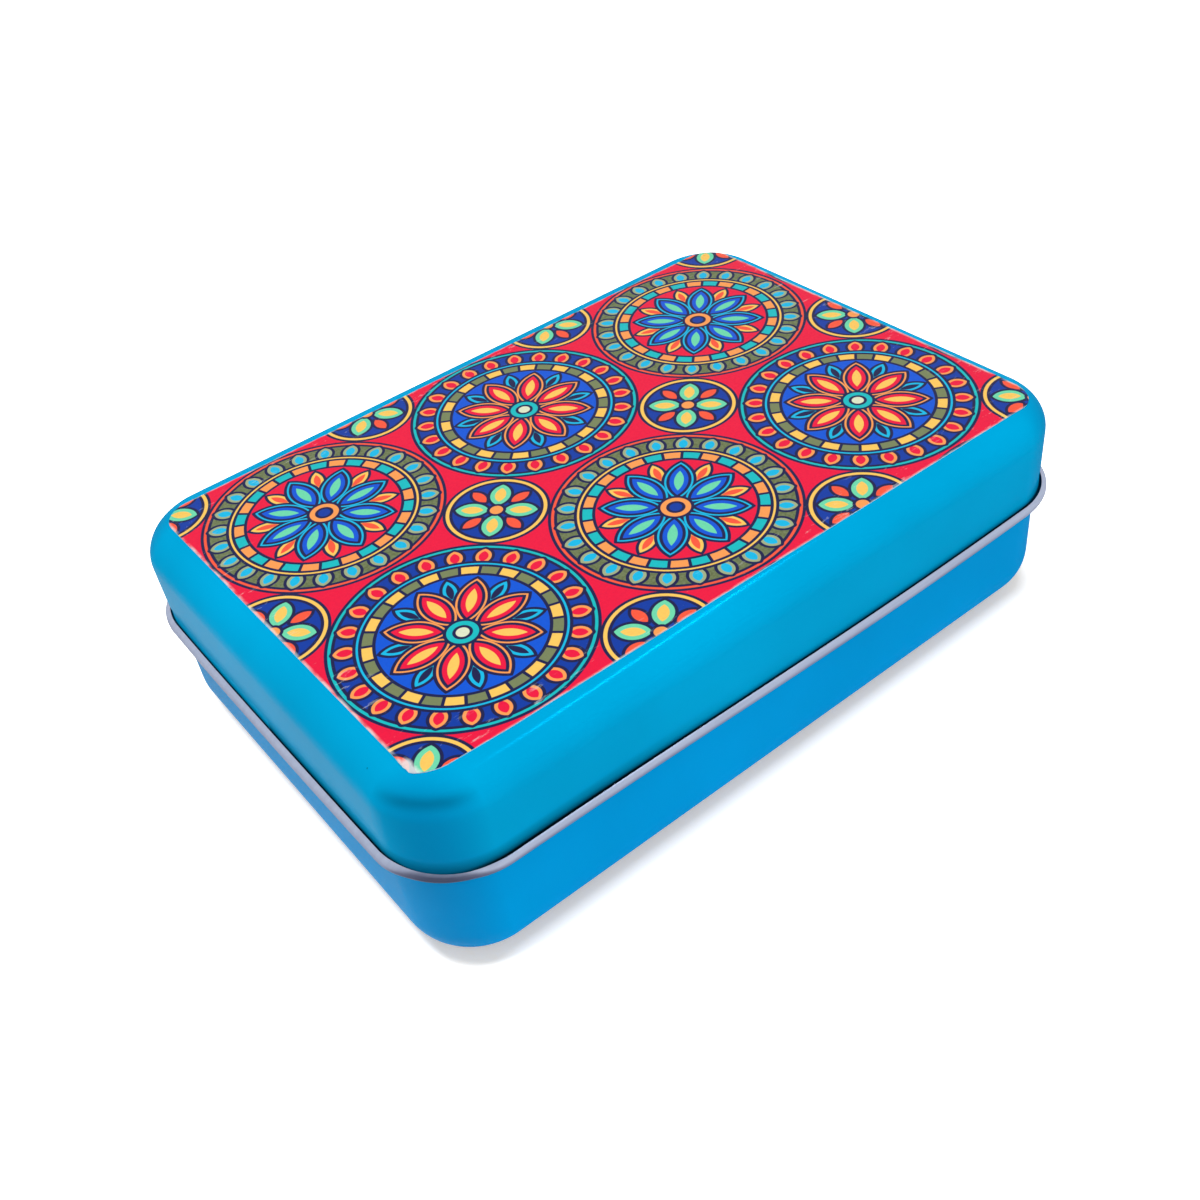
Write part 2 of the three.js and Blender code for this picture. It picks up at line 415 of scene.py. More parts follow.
# Print on the sheet, in millimetres: two rows of three rosette tiles, edge to edge

COLUMNS = 3
ROWS = 2
TILE = 2 * sheet_high.x / COLUMNS / MM
LINE = 0.42  # width of the dark outlines
SOFT_EDGE = 0.06  # width over which one ink gives way to the next

# Radii of the small flower where four tiles meet, and of the rosette in a tile
FLOWER_RING = 7.0
FLOWER_FIELD = 6.1
FLOWER_HEART = 1.1
WREATH_RING = 16.5
WREATH_FIELD = 15.7
BLOCK_RING = 13.1
BLOCK_FIELD = 12.4
PETAL_FIELD = 10.7
HEART_RING = 2.2
HEART_DOT = 1.05

# Leaves and petals: start and stop along their ray, and half their width
FLOWER_PETAL = (0.8, 5.8, 1.6)
FLOWER_SEPAL = (2.2, 5.7, 0.95)
WREATH_LEAF = (12.5, 15.9, 1.25)
SHORT_PETAL = (5.4, 10.3, 1.1)
LONG_PETAL = (1.4, 10.1, 2.15)

# How many there are, and how far in from the outline their inner inks start
FLOWER_PETALS = 4
WREATH_LEAVES = 24
BLOCKS = 28
PETALS = 8
FLOWER_PETAL_INSET = 0.85
LEAF_INSET = 0.62
LONG_PETAL_INSETS = (0.68, 1.5)

# Grain, wear and painted glare; a pair of distances says where it starts and where it is full
GRAIN_SCALE = 2600
GRAIN_DEPTH = 0.012 * MM
SCUFF_MARKS = (260.0, 900.0, 300.0)  # scale of the noise along each axis
SCUFF_RANGE = (7.0, 1.5)  # from the edge of the sheet
RUB_SCALE = 420
RUB_RANGE = (0.45, 0.1)
GLARE_EDGE_SCALE = 900
GLARE_EDGE_RAGGED = 0.8
GLARE_RANGE = (1.6, 1.1)  # from the left edge at the near corner, the pale patch of painted glare on the lifted corner
GLARE_ACROSS = (-29.0, -29.8)  # across the tin

NAVY = ink("171b49")
DEEP_BLUE = ink("0a3aa0")
COBALT = ink("0b57d6")
CYAN = ink("12b9e6")
TEAL = ink("14bcc2")
CRIMSON = ink("ee1440")
VERMILION = ink("fa5a3d")
ORANGE = ink("fb9f55")
AMBER = ink("fdca60")
OLIVE = ink("78835a")
DARK_OLIVE = ink("5f6a44")
SAGE = ink("a2ae86")
MINT = ink("6ed9ac")
CREAM = ink("dfe6c6")


class Print:
    """Inks laid one over another, each where a distance in millimetres is below zero."""

    def __init__(self, net, ground):
        self.net = net
        self.colour = ground

    def inside(self, distance):
        return self.net.math("MULTIPLY_ADD", distance, -1 / SOFT_EDGE, 0.5, clamp=True)

    def lay(self, colour, distance):
        self.colour = self.net.mix(self.inside(distance), self.colour, colour)

    def lay_line(self, distance, width=LINE):
        self.lay(NAVY, abs(distance) - width / 2)

    def lay_shape(self, colour, distance):
        self.lay(colour, distance)
        self.lay_line(distance)


def turned(angle, count, shift=0.0):
    """Angle from the nearest of count evenly spaced rays."""
    step = 2 * math.pi / count
    return abs((angle + (step / 2 + shift)) % step - step / 2)


def leaf(net, along, across, start, stop, half_width):
    """Distance outside an almond shape that lies on a ray; across is never negative."""
    half = (stop - start) / 2
    radius = (half * half + half_width * half_width) / (2 * half_width)
    lengthwise = along - (start + half)
    sideways = across + (radius - half_width)
    return net.math("SQRT", lengthwise * lengthwise + sideways * sideways) - radius


def on_ray(net, distance, angle):
    return distance * net.math("COSINE", angle), distance * net.math("SINE", angle)


def patterned_vinyl():
    """Satin vinyl, printed, with a fine pressed grain."""
    material, net = surface("patterned_vinyl")
    place = net.node("ShaderNodeTexCoord")["Object"]
    spot = net.node("ShaderNodeSeparateXYZ", None, {0: place})
    x = spot["X"] * (1 / MM)
    y = spot["Y"] * (1 / MM)
    field_x = COLUMNS * TILE / 2
    field_y = ROWS * TILE / 2
    column = net.math("FLOOR", (x + field_x) / TILE)
    row = net.math("FLOOR", (y + field_y) / TILE)
    other = (column + row) % 2.0
    u = (x + field_x) % TILE - TILE / 2
    v = (y + field_y) % TILE - TILE / 2

    grain = net.noise(place, GRAIN_SCALE, 2, 0.6)["Fac"]
    flecks = net.ramp(grain, 0.35, 0.65)
    olive = net.mix(flecks, DARK_OLIVE, OLIVE)
    sheet = Print(net, CRIMSON)

    def either(first, second):
        return net.mix(other, first, second)

    # Small flower where four tiles meet
    corner_u = TILE / 2 - abs(u)
    corner_v = TILE / 2 - abs(v)
    corner = net.math("SQRT", corner_u * corner_u + corner_v * corner_v)
    corner_angle = net.math("ARCTAN2", corner_v, corner_u)
    sheet.lay_shape(AMBER, corner - FLOWER_RING)
    sheet.lay_shape(DEEP_BLUE, corner - FLOWER_FIELD)
    along, across = on_ray(net, corner, turned(corner_angle, FLOWER_PETALS, math.pi / FLOWER_PETALS))
    petal = leaf(net, along, across, *FLOWER_PETAL)
    sheet.lay_shape(MINT, petal)
    sheet.lay(AMBER, petal + FLOWER_PETAL_INSET)
    along, across = on_ray(net, corner, turned(corner_angle, FLOWER_PETALS))
    sheet.lay_shape(VERMILION, leaf(net, along, across, *FLOWER_SEPAL))
    sheet.lay_shape(ORANGE, corner - FLOWER_HEART)

    # Outer wreath of leaves round each rosette
    middle = net.math("SQRT", u * u + v * v)
    angle = net.math("ARCTAN2", v, u)
    sheet.lay_shape(either(TEAL, VERMILION), middle - WREATH_RING)
    sheet.lay_shape(either(DEEP_BLUE, olive), middle - WREATH_FIELD)
    along, across = on_ray(net, middle, turned(angle, WREATH_LEAVES))
    wreath = leaf(net, along, across, *WREATH_LEAF)
    sheet.lay_shape(either(ORANGE, SAGE), wreath)
    sheet.lay(either(CRIMSON, CYAN), wreath + LEAF_INSET)

    # Ring of blocks
    sheet.lay_shape(either(CYAN, AMBER), middle - BLOCK_RING)
    block_edge = middle * (math.pi / BLOCKS - turned(angle, BLOCKS))
    block_number = net.math("FLOOR", angle * (BLOCKS / (2 * math.pi)) + 0.5)
    block_ink = net.mix(block_number % 2.0, either(AMBER, ORANGE), either(OLIVE, TEAL))
    sheet.lay(block_ink, middle - BLOCK_FIELD)
    sheet.lay(NAVY, net.math("MAXIMUM", block_edge - LINE / 2, middle - BLOCK_FIELD))
    sheet.lay_line(middle - BLOCK_FIELD)
    sheet.lay_shape(either(COBALT, CRIMSON), middle - PETAL_FIELD)

    # Eight long petals with shorter ones between
    along, across = on_ray(net, middle, turned(angle, PETALS, math.pi / PETALS))
    between = leaf(net, along, across, *SHORT_PETAL)
    sheet.lay_shape(either(CYAN, AMBER), between)
    sheet.lay(either(NAVY, VERMILION), between + LEAF_INSET)
    along, across = on_ray(net, middle, turned(angle, PETALS))
    petal = leaf(net, along, across, *LONG_PETAL)
    sheet.lay_shape(either(ORANGE, CYAN), petal)
    sheet.lay_shape(either(CRIMSON, COBALT), petal + LONG_PETAL_INSETS[0])
    sheet.lay(either(AMBER, MINT), petal + LONG_PETAL_INSETS[1])
    sheet.lay_shape(either(TEAL, ORANGE), middle - HEART_RING)
    sheet.lay_shape(either(CREAM, DEEP_BLUE), middle - HEART_DOT)

    # Wear along the edges, and painted glare at the near corner
    right = (x > 0.0) * (RIGHT_REACH / MM)
    front = (y < 0.0) * (FRONT_REACH / MM + x * (FRONT_SKEW / MM / field_x))
    edge = net.math("MINIMUM", field_x - abs(x) + right, field_y - abs(y) + front)
    scratches = net.noise(net.vector("MULTIPLY", place, SCUFF_MARKS), 1.0, 5, 0.75)["Fac"]
    scuffs = net.ramp(scratches, 0.6, 0.68) * net.ramp(edge, *SCUFF_RANGE)
    rubbed = net.ramp(net.noise(place, RUB_SCALE, 3)["Fac"], 0.35, 0.6) * net.ramp(edge, *RUB_RANGE)
    # painted glare: a pale patch with a ragged edge on the lifted near corner
    glare_edge = x + field_x + net.noise(place, GLARE_EDGE_SCALE, 2)["Fac"] * GLARE_EDGE_RAGGED
    corner_glare = net.ramp(glare_edge, *GLARE_RANGE) * net.ramp(y, *GLARE_ACROSS)
    wear_and_glare = net.math("MAXIMUM", net.math("MAXIMUM", scuffs * 0.35, rubbed * 0.7), corner_glare * 0.75)
    worn_and_glare = net.mix(wear_and_glare, sheet.colour, ink("e8eeee"))
    printed = net.mix(flecks * 0.06, worn_and_glare, NAVY)
    shade(net, {
        "Base Color": printed,
        "Roughness": 0.34 + 0.1 * flecks + 0.1 * scuffs,
        "Normal": net.bump(grain, GRAIN_DEPTH),
        "Specular IOR Level": 0.1,
    })
    return material


# Pieces


def arc(out, height, radius, start, stop, steps):
    turns = [math.radians(start + (stop - start) * step / steps) for step in range(steps + 1)]
    return [(out + radius * math.cos(turn), height + radius * math.sin(turn)) for turn in turns]


def wall(out, start, stop, neck=0.0):
    """Points between two heights, drawn in by the neck above the hem."""
    points = []
    for step in range(1, WALL_STEPS):
        height = start + (stop - start) * step / WALL_STEPS
        away = (height - HEM_HEIGHT - NECK_ABOVE_HEM) / NECK_SPREAD
        points.append((out - neck * math.exp(-away * away), height))
    return points


def hem_roll(radius, start, stop):
    """Points round the hem."""
    roll = arc(HEM_OUT, 0, radius, start, stop, ROLL_STEPS)
    return [(out, HEM_HEIGHT + height * HEM_STRETCH) for out, height in roll]


def lid_section():
    """Painted points down the outside into the roll, then bare ones round it and up the inside."""
    edge = LID_TOP - LID_EDGE_RADIUS
    roll_end = 180 + HEM_TURN
    painted = [
        *arc(-LID_EDGE_RADIUS, edge, LID_EDGE_RADIUS, 90, 0, EDGE_STEPS),
        *wall(0, edge, HEM_HEIGHT, NECK_DEPTH),
        *hem_roll(HEM_RADIUS - SHEET, 180, roll_end),
    ]
    bare = [
        *hem_roll(HEM_RADIUS, roll_end, 180),
        *wall(-SHEET, HEM_HEIGHT, edge, NECK_DEPTH),
        *arc(-LID_EDGE_RADIUS, edge, LID_EDGE_RADIUS - SHEET, 0, 90, EDGE_STEPS),
    ]
    return painted, bare


def pan_section():
    """Painted points up the outside and over the rim, then bare ones under it and down the inside."""
    edge_out = PAN_OUT - PAN_EDGE_RADIUS
    rim_out = PAN_OUT - RIM_RADIUS
    rim_height = RIM_TOP - RIM_RADIUS
    painted = [
        *arc(edge_out, PAN_EDGE_RADIUS, PAN_EDGE_RADIUS, -90, 0, EDGE_STEPS),
        *wall(PAN_OUT, PAN_EDGE_RADIUS, rim_height),
        *arc(rim_out, rim_height, RIM_RADIUS, 0, RIM_TURN, ROLL_STEPS),
    ]
    bare = [
        *arc(rim_out, rim_height, RIM_RADIUS - SHEET, RIM_TURN, 0, ROLL_STEPS),
        *wall(PAN_OUT - SHEET, rim_height, PAN_EDGE_RADIUS),
        *arc(edge_out, PAN_EDGE_RADIUS, PAN_EDGE_RADIUS - SHEET, 0, -90, EDGE_STEPS),
    ]
    return painted, bare


def new_object(name, mesh):
    piece = bpy.data.objects.new(name, mesh)
    bpy.context.scene.collection.objects.link(piece)
    return piece


def line_mesh(name, points):
    mesh = bpy.data.meshes.new(name)
    mesh.from_pydata(points, [(at, at + 1) for at in range(len(points) - 1)], [])
    return mesh


def new_tree(name, sizes):
    """A geometry tree with named inputs, its builder and the identifier of each input."""
    tree = bpy.data.node_groups.new(name, "GeometryNodeTree")
    tree.interface.new_socket("Geometry", in_out="INPUT", socket_type="NodeSocketGeometry")
    tree.interface.new_socket("Geometry", in_out="OUTPUT", socket_type="NodeSocketGeometry")
    keys = {}
    for label, kind in sizes.items():
        keys[label] = tree.interface.new_socket(label, in_out="INPUT", socket_type=kind).identifier
    net = Net(tree)
    return tree, net, net.node("NodeGroupInput"), keys


def bake(piece):
    """Turns a piece and its modifiers into a plain mesh."""
    graph = bpy.context.evaluated_depsgraph_get()
    mesh = bpy.data.meshes.new_from_object(piece.evaluated_get(graph), depsgraph=graph)
    piece.modifiers.clear()
    piece.data = mesh
    return piece


def grow(piece, made, values):
    """Runs a geometry tree on a piece and bakes the result."""
    tree, keys = made
    modifier = piece.modifiers.new(tree.name, "NODES")
    modifier.node_group = tree
    for label, value in values.items():
        modifier[keys[label]] = value
    return bake(piece)


def drawn_shell_tree():
    """Carries a section round a rectangle with round corners, then gives the wall its slight shapes."""
    tree, net, given, keys = new_tree("drawn_shell", {
        "Length": "NodeSocketFloat",
        "Width": "NodeSocketFloat",
        "Corner Radius": "NodeSocketFloat",
        "Bow": "NodeSocketFloat",
        "Hem Height": "NodeSocketFloat",
        "Edge Height": "NodeSocketFloat",
        "Dent": "NodeSocketFloat",
        "Neck": "NodeSocketFloat",
        "Tuck": "NodeSocketFloat",
        "Pinch": "NodeSocketFloat",
        "Uneven": "NodeSocketFloat",
        "Set In": "NodeSocketFloat",
        "Steps": "NodeSocketInt",
        "Paint": "NodeSocketMaterial",
        "Bare": "NodeSocketMaterial",
    })
    path = net.node("GeometryNodeCurvePrimitiveQuadrilateral", None, {
        "Width": given["Length"],
        "Height": given["Width"],
    })
    path = net.node("GeometryNodeCurveSplineType", {"spline_type": "BEZIER"}, {"Curve": path})
    path = net.node("GeometryNodeFilletCurve", {"mode": "BEZIER"}, {
        "Curve": path,
        "Radius": given["Corner Radius"],
    })
    path = net.node("GeometryNodeCurveSetHandles", {"handle_type": "FREE"}, {"Curve": path})
    path = net.node("GeometryNodeSetSplineResolution", None, {
        "Geometry": path,
        "Resolution": given["Steps"],
    })
    path = net.node("GeometryNodeSetCurveNormal", {"mode": "Z_UP"}, {"Curve": path})
    section = net.node("GeometryNodeMeshToCurve", None, {"Mesh": given["Geometry"]})
    shell = net.node("GeometryNodeCurveToMesh", None, {"Curve": path, "Profile Curve": section})

    spot = net.node("ShaderNodeSeparateXYZ", None, {0: net.node("GeometryNodeInputPosition")})

    def share_of_corner(place, whole):
        past = abs(place) - whole * 0.5 + given["Corner Radius"]
        return net.math("MAXIMUM", past / given["Corner Radius"], 0.0)

    def eased(share):
        return net.node("ShaderNodeMapRange", {"interpolation_type": "SMOOTHSTEP"}, {"Value": share})

    corner_x = share_of_corner(spot["X"], given["Length"])
    corner_y = share_of_corner(spot["Y"], given["Width"])
    turning = net.math("MINIMUM", corner_x * corner_y * 2.0, 1.0)
    knocked = turning * near_side(spot)
    tight = eased(knocked * knocked)
    above_hem = spot["Z"] - given["Hem Height"]
    low = net.ramp(spot["Z"], given["Edge Height"], given["Hem Height"])

    along = spot["X"] / (given["Length"] * 0.5)
    across = spot["Y"] / (given["Width"] * 0.5)
    draw_in = low * low * given["Bow"] * 2.0 * (1 - turning + knocked)
    narrow = spot["Y"] * (1 - along * along * draw_in / given["Width"])
    shorten = spot["X"] * (1 - across * across * draw_in / given["Length"])

    dent_height = given["Edge Height"] + CORNER_DENT_RISE
    dent = given["Dent"] * net.bell(spot["Z"], dent_height, CORNER_DENT_SPREAD)
    neck = given["Neck"] * net.bell(above_hem, CORNER_NECK_RISE, CORNER_NECK_SPREAD)
    from_middle = net.math("SQRT", corner_x * corner_x + corner_y * corner_y) * given["Corner Radius"]
    outside = from_middle - given["Corner Radius"]
    free_edge = net.ramp(outside, *TUCK_OUT) * net.ramp(above_hem, *TUCK_UP)
    tuck = given["Tuck"] * free_edge * eased(corner_x)
    pinched = tight * given["Pinch"] * net.ramp(above_hem, HEM_DROP + PINCH_FADE, HEM_DROP)
    slimmer = net.math("MAXIMUM", outside, 0.0) * pinched
    front = net.ramp(spot["Y"], 0.0, given["Corner Radius"] - given["Width"] * 0.5)
    set_in = given["Set In"] * eased(net.ramp(above_hem, *SET_IN_RANGE)) * (front + knocked)
    dent = dent * (SIDE_DENT + (1 - SIDE_DENT) * knocked)
    pressed = dent + neck * knocked + tuck + slimmer + set_in
    lift = skirt_lift(net, spot) * given["Uneven"] * low * low
    shell = net.node("GeometryNodeSetPosition", None, {
        "Geometry": shell,
        "Position": net.node("ShaderNodeCombineXYZ", None, {
            "X": shorten - pressed * corner_x * net.math("SIGN", spot["X"]),
            "Y": narrow - pressed * corner_y * net.math("SIGN", spot["Y"]),
            "Z": spot["Z"] - (above_hem + HEM_DROP) * pinched + lift,
        }),
    })

    bare = net.node("GeometryNodeInputNamedAttribute", {"data_type": "FLOAT"}, {"Name": "bare"})
    shell = net.node("GeometryNodeRealizeInstances", None, {"Geometry": shell})
    shell = net.node("GeometryNodeSetMaterial", None, {"Geometry": shell, "Material": given["Paint"]})
    shell = net.node("GeometryNodeSetMaterial", None, {
        "Geometry": shell,
        "Selection": bare["Attribute"] > BARE_LIMIT,
        "Material": given["Bare"],
    })
    net.node("NodeGroupOutput", None, {"Geometry": shell})
    return tree, keys


def drawn_shell(name, made, section, paint, bare_metal, slight_shapes):
    """A shell of drawn sheet with its two panels closed."""
    painted, bare = section
    points = [(out, -height, 0) for out, height in painted + bare]
    mesh = line_mesh(name, points)
    flags = mesh.attributes.new("bare", "FLOAT", "POINT")
    flags.data.foreach_set("value", [0.0] * len(painted) + [1.0] * len(bare))
    shell = grow(new_object(name, mesh), made, {
        "Length": 2 * HALF_LENGTH,
        "Width": 2 * HALF_WIDTH,
        "Corner Radius": CORNER_RADIUS,
        "Hem Height": HEM_HEIGHT,
        "Edge Height": LID_TOP - LID_EDGE_RADIUS,
        "Steps": PATH_STEPS,
        "Paint": paint,
        "Bare": bare_metal,
        **slight_shapes,
    })
    close_shell(shell.data)
    return shell


def close_shell(mesh):
    """Welds the sweep and fills its two flat panels; the lower or inner one is bare."""
    shape = bmesh.new()
    shape.from_mesh(mesh)
    bmesh.ops.remove_doubles(shape, verts=shape.verts, dist=WELD_DISTANCE)
    for edge in [edge for edge in shape.edges if edge.is_boundary]:
        if edge.is_boundary:
            side = edge.link_faces[0].material_index
            panel = bmesh.ops.edgeloop_fill(shape, edges=loop_from(edge))["faces"]
            for face in panel:
                face.material_index = side
    bmesh.ops.recalc_face_normals(shape, faces=shape.faces)
    shape.to_mesh(mesh)
    shape.free()


def loop_from(edge):
    """The ring of open edges that an edge belongs to."""
    ring = [edge]
    seen = {edge}
    waiting = [edge]
    while waiting:
        for corner in waiting.pop().verts:
            for near in corner.link_edges:
                if near.is_boundary and near not in seen:
                    seen.add(near)
                    ring.append(near)
                    waiting.append(near)
    return ring


def block(name, low, high, material):
    """A plain cutting block."""
    mesh = bpy.data.meshes.new(name)
    shape = bmesh.new()
    size = Vector(high) - Vector(low)
    place = Matrix.Translation((Vector(low) + Vector(high)) / 2) @ Matrix.Diagonal((*size, 1))
    bmesh.ops.create_cube(shape, size=1, matrix=place)
    shape.to_mesh(mesh)
    shape.free()
    mesh.materials.append(material)
    return new_object(name, mesh)


def combine(piece, tool, operation):
    """Cuts a tool out of a piece, or welds it on, and removes the tool."""
    change = piece.modifiers.new(operation, "BOOLEAN")
    change.operation = operation
    change.solver = "EXACT"
    change.material_mode = "TRANSFER"
    change.object = tool
    bake(piece)
    bpy.data.objects.remove(tool)


def lid_slot(side, material):
    half = TONGUE_WIDTH / 2 + SLOT_SIDE_CLEARANCE
    groove = HEM_OUT + HEM_RADIUS * math.cos(math.radians(180 + HEM_TURN))
    top = HEM_HEIGHT + TONGUE_OUTER + SLOT_TOP_CLEARANCE
    low = (side * TONGUE_X - half, HALF_WIDTH - 2 * SHEET, HEM_HEIGHT)
    high = (side * TONGUE_X + half, HALF_WIDTH + groove / 2, top)
    return block("slot", low, high, material)


def pan_window(side, material):
    half = TONGUE_WIDTH / 2 + LANCE_CUT
    back = HALF_WIDTH + PAN_OUT
    low = (side * TONGUE_X - half, back - 2 * SHEET, HEM_HEIGHT - LANCE_CUT)
    high = (side * TONGUE_X + half, back + SHEET, RIM_TOP - 2 * RIM_RADIUS - SHEET)
    return block("window", low, high, material)


def tongue_path():
    """Middle of the tongue's sheet, from the back wall over the hem to the end of the tail."""
    radius = (TONGUE_INNER + TONGUE_OUTER) / 2
    bend = arc(0, 0, radius, 180, TONGUE_FLARE, ROLL_STEPS)
    lean = math.radians(TONGUE_FLARE)
    root = [(bend[0][0], -(LANCE_CUT + SHEET)), (bend[0][0], -LANCE_CUT / 2)]
    tail = []
    for step in range(1, TAIL_STEPS + 1):
        reach = TONGUE_TAIL * step / TAIL_STEPS
        tail.append((bend[-1][0] + reach * math.sin(lean), bend[-1][1] - reach * math.cos(lean)))
    return root + bend + tail


def tongue_tree():
    """Two strips that follow the tongue's path, each narrowing to a round tip."""
    tree, net, given, keys = new_tree("hinge_tongues", {
        "Width": "NodeSocketFloat",
        "Spacing": "NodeSocketFloat",
        "Tip Radius": "NodeSocketFloat",
        "Finish": "NodeSocketMaterial",
    })
    path = net.node("GeometryNodeMeshToCurve", None, {"Mesh": given["Geometry"]})
    path = net.node("GeometryNodeSetCurveNormal", {"mode": "FREE"}, {
        "Curve": path,
        "Normal": (1.0, 0.0, 0.0),
    })
    length = net.node("GeometryNodeSplineLength")["Length"]
    done = net.node("GeometryNodeSplineParameter")["Length"]
    past = net.math("MAXIMUM", done - length + given["Tip Radius"], 0.0)
    left = net.math("MAXIMUM", given["Tip Radius"] ** 2.0 - past * past, 0.0)
    share = 1 - (given["Tip Radius"] - net.math("SQRT", left)) * 2.0 / given["Width"]
    across = net.node("GeometryNodeCurvePrimitiveLine", None, {
        "Start": net.node("ShaderNodeCombineXYZ", None, {"X": given["Width"] * -0.5}),
        "End": net.node("ShaderNodeCombineXYZ", None, {"X": given["Width"] * 0.5}),
    })
    strip = net.node("GeometryNodeCurveToMesh", None, {
        "Curve": path,
        "Profile Curve": across,
        "Scale": share,
    })
    places = net.node("GeometryNodeMeshLine", {"mode": "END_POINTS"}, {
        "Count": 2,
        "Start Location": net.node("ShaderNodeCombineXYZ", None, {"X": given["Spacing"] * -0.5}),
        "Offset": net.node("ShaderNodeCombineXYZ", None, {"X": given["Spacing"] * 0.5}),
    })
    pair = net.node("GeometryNodeInstanceOnPoints", None, {"Points": places, "Instance": strip})
    pair = net.node("GeometryNodeRealizeInstances", None, {"Geometry": pair})
    pair = net.node("GeometryNodeSetMaterial", None, {"Geometry": pair, "Material": given["Finish"]})
    net.node("NodeGroupOutput", None, {"Geometry": pair})
    return tree, keys


def hinge_tongues(paint, bare_metal):
    """Both tongues, painted inside the fold and bare outside."""
    points = [(0, hinge_axis.y + out, hinge_axis.z + height) for out, height in tongue_path()]
    tongues = new_object("hinge_tongues", line_mesh("hinge_tongues", points))
    grow(tongues, tongue_tree(), {
        "Width": TONGUE_WIDTH,
        "Spacing": 2 * TONGUE_X,
        "Tip Radius": TONGUE_TIP_RADIUS,
        "Finish": bare_metal,
    })
    tongues.data.materials.append(paint)
    thicken(tongues, SHEET - 2 * TONGUE_SKIN, offset=0, back_slot=1, rim_slot=0)
    return tongues


def thicken(piece, thickness, offset, back_slot, rim_slot):
    """Gives a sheet its thickness, with material slots for its back and its edge."""
    solid = piece.modifiers.new("thickness", "SOLIDIFY")
    solid.thickness = thickness
    solid.offset = offset
    solid.material_offset = back_slot
    solid.material_offset_rim = rim_slot
    bake(piece)
    shape = bmesh.new()
    shape.from_mesh(piece.data)
    bmesh.ops.recalc_face_normals(shape, faces=shape.faces)
    shape.to_mesh(piece.data)
    shape.free()


def smooth(piece, angle):
    piece.data.polygons.foreach_set("use_smooth", [True] * len(piece.data.polygons))
    piece.data.set_sharp_from_angle(angle=math.radians(angle))


def label_ring(inset):
    """Points round the sheet's outline, moved in by an inset."""
    radius = max(VINYL_CORNER_RADIUS - inset, LABEL_SMALLEST_BEND)
    bends = []
    for corner, (side_x, side_y) in enumerate(((1, 1), (-1, 1), (-1, -1), (1, -1))):
        centre_x = side_x * (sheet_high.x - inset - radius)
        centre_y = side_y * (sheet_high.y - inset - radius)
        bends.append(arc(centre_x, centre_y, radius, 90 * corner, 90 * corner + 90, LABEL_BEND_STEPS))
    points = []
    for corner, bend in enumerate(bends):
        points += bend
        start = Vector(bend[-1])
        stop = Vector(bends[(corner + 1) % 4][0])
        points += [start.lerp(stop, step / LABEL_SIDE_STEPS) for step in range(1, LABEL_SIDE_STEPS)]
    return points


def on_lid(x, y):
    """A point of the sheet's top: cut and set as on the tin, over the lid's rounding, corners lifted."""
    corner = Vector((sheet_high.x, sheet_high.y))
    away = (corner - Vector((abs(x), abs(y)))).length
    lift = CORNER_LIFT * max(1 - away / CORNER_LIFT_REACH, 0) ** 2
    share_x = x / corner.x
    share_y = y / corner.y
    if y < 0:
        y -= (FRONT_REACH + FRONT_SKEW * share_x) * share_y**2
    if x > 0:
        x += RIGHT_REACH * share_x**2
    elif y < 0:
        cut = NEAR_CORNER_CUT * max(1 - away / NEAR_CUT_REACH, 0) ** 2
        x = max(x + cut.x, -corner.x)
        y += cut.y
    past_x = max(abs(x) - (HALF_LENGTH - CORNER_RADIUS), 0)
    past_y = max(abs(y) - (HALF_WIDTH - CORNER_RADIUS), 0)
    over = max(math.hypot(past_x, past_y) - (CORNER_RADIUS - LID_EDGE_RADIUS), 0)
    drop = LID_EDGE_RADIUS - math.sqrt(LID_EDGE_RADIUS**2 - over**2)
    return x, y, LID_TOP + VINYL + lift - drop


def patterned_sheet(print_material, edge_material):
    """Vinyl sheet on the lid."""
    rings = [label_ring(inset * MM) for inset in LABEL_INSETS]
    count = len(rings[0])
    places = [on_lid(x, y) for ring in rings for x, y in ring]
    faces = []
    for ring in range(len(rings) - 1):
        for at in range(count):
            after = (at + 1) % count
            outer = ring * count
            inner = outer + count
            faces.append((outer + at, outer + after, inner + after, inner + at))
    faces.append(tuple(range((len(rings) - 1) * count, len(rings) * count)))
    mesh = bpy.data.meshes.new("patterned_sheet")
    mesh.from_pydata(places, [], faces)
    mesh.materials.append(print_material)
    mesh.materials.append(edge_material)
    piece = new_object("patterned_sheet", mesh)
    thicken(piece, VINYL, offset=-1, back_slot=1, rim_slot=1)
    smooth(piece, SHEET_SMOOTH_ANGLE)
    return piece


# Assembly

# each: the paint, the darker tone it drifts to, and the painted shade at its drawn corners
lid_colours = ink("00aadf"), ink("00a0d3"), ink("0089be")
pan_colours = ink("009fe3"), ink("0097d8"), ink("008ccd")
lid_paint = enamel("lid_enamel", *lid_colours, LID_SHEEN, HEM_HEIGHT + GROOVE_SHADE_HEIGHT)
pan_paint = enamel("pan_enamel", *pan_colours, PAN_SHEEN)
bare_metal = tinplate("pan_tinplate")
lid_metal = tinplate("lid_tinplate", HEM_HEIGHT)
shell_tree = drawn_shell_tree()

lid_shell = drawn_shell("lid_shell", shell_tree, lid_section(), lid_paint, lid_metal, {
    "Bow": HEM_BOW,
    "Dent": CORNER_DENT,
    "Neck": CORNER_NECK,
    "Tuck": END_TUCK,
    "Pinch": CORNER_PINCH,
    "Uneven": 1.0,
})
for side in (-1, 1):
    combine(lid_shell, lid_slot(side, lid_metal), "DIFFERENCE")
smooth(lid_shell, SHELL_SMOOTH_ANGLE)

